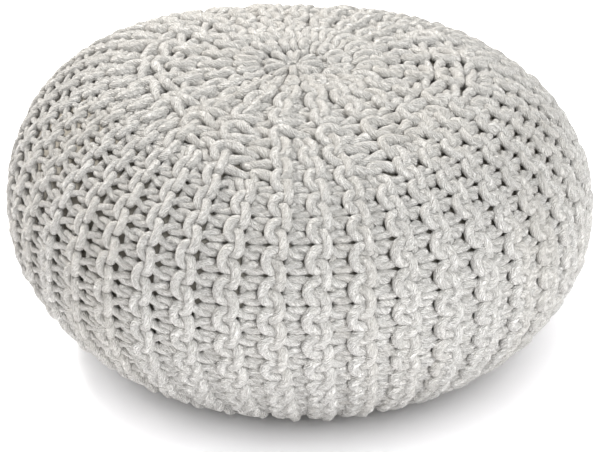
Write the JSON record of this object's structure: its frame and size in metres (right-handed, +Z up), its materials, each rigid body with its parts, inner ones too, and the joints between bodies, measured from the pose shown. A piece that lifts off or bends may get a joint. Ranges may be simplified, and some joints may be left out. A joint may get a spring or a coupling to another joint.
{
  "type": "knitted pouf",
  "caption": "Low round floor pouf with a chunky garter stitch cover in off-white cord, gathered at the top and underneath over a filled inner bag.",
  "frame": {"origin": "on the floor, under the middle of the pouf's box", "axes": "+Z up through the two gathered poles, +X to the right and +Y away from a viewer who faces the front; the pouf leans a little to -X"},
  "size_m": [0.5024, 0.5006, 0.2566],
  "materials": {
    "knit_yarn": "thick soft twisted cotton cord, off-white, matt",
    "bag_cloth": "plain woven lining cloth, warm beige grey, matt"
  },
  "bodies": {
    "root": {"knitted_cover": "knit_yarn", "inner_bag": "bag_cloth"}
  },
  "joints": []
}
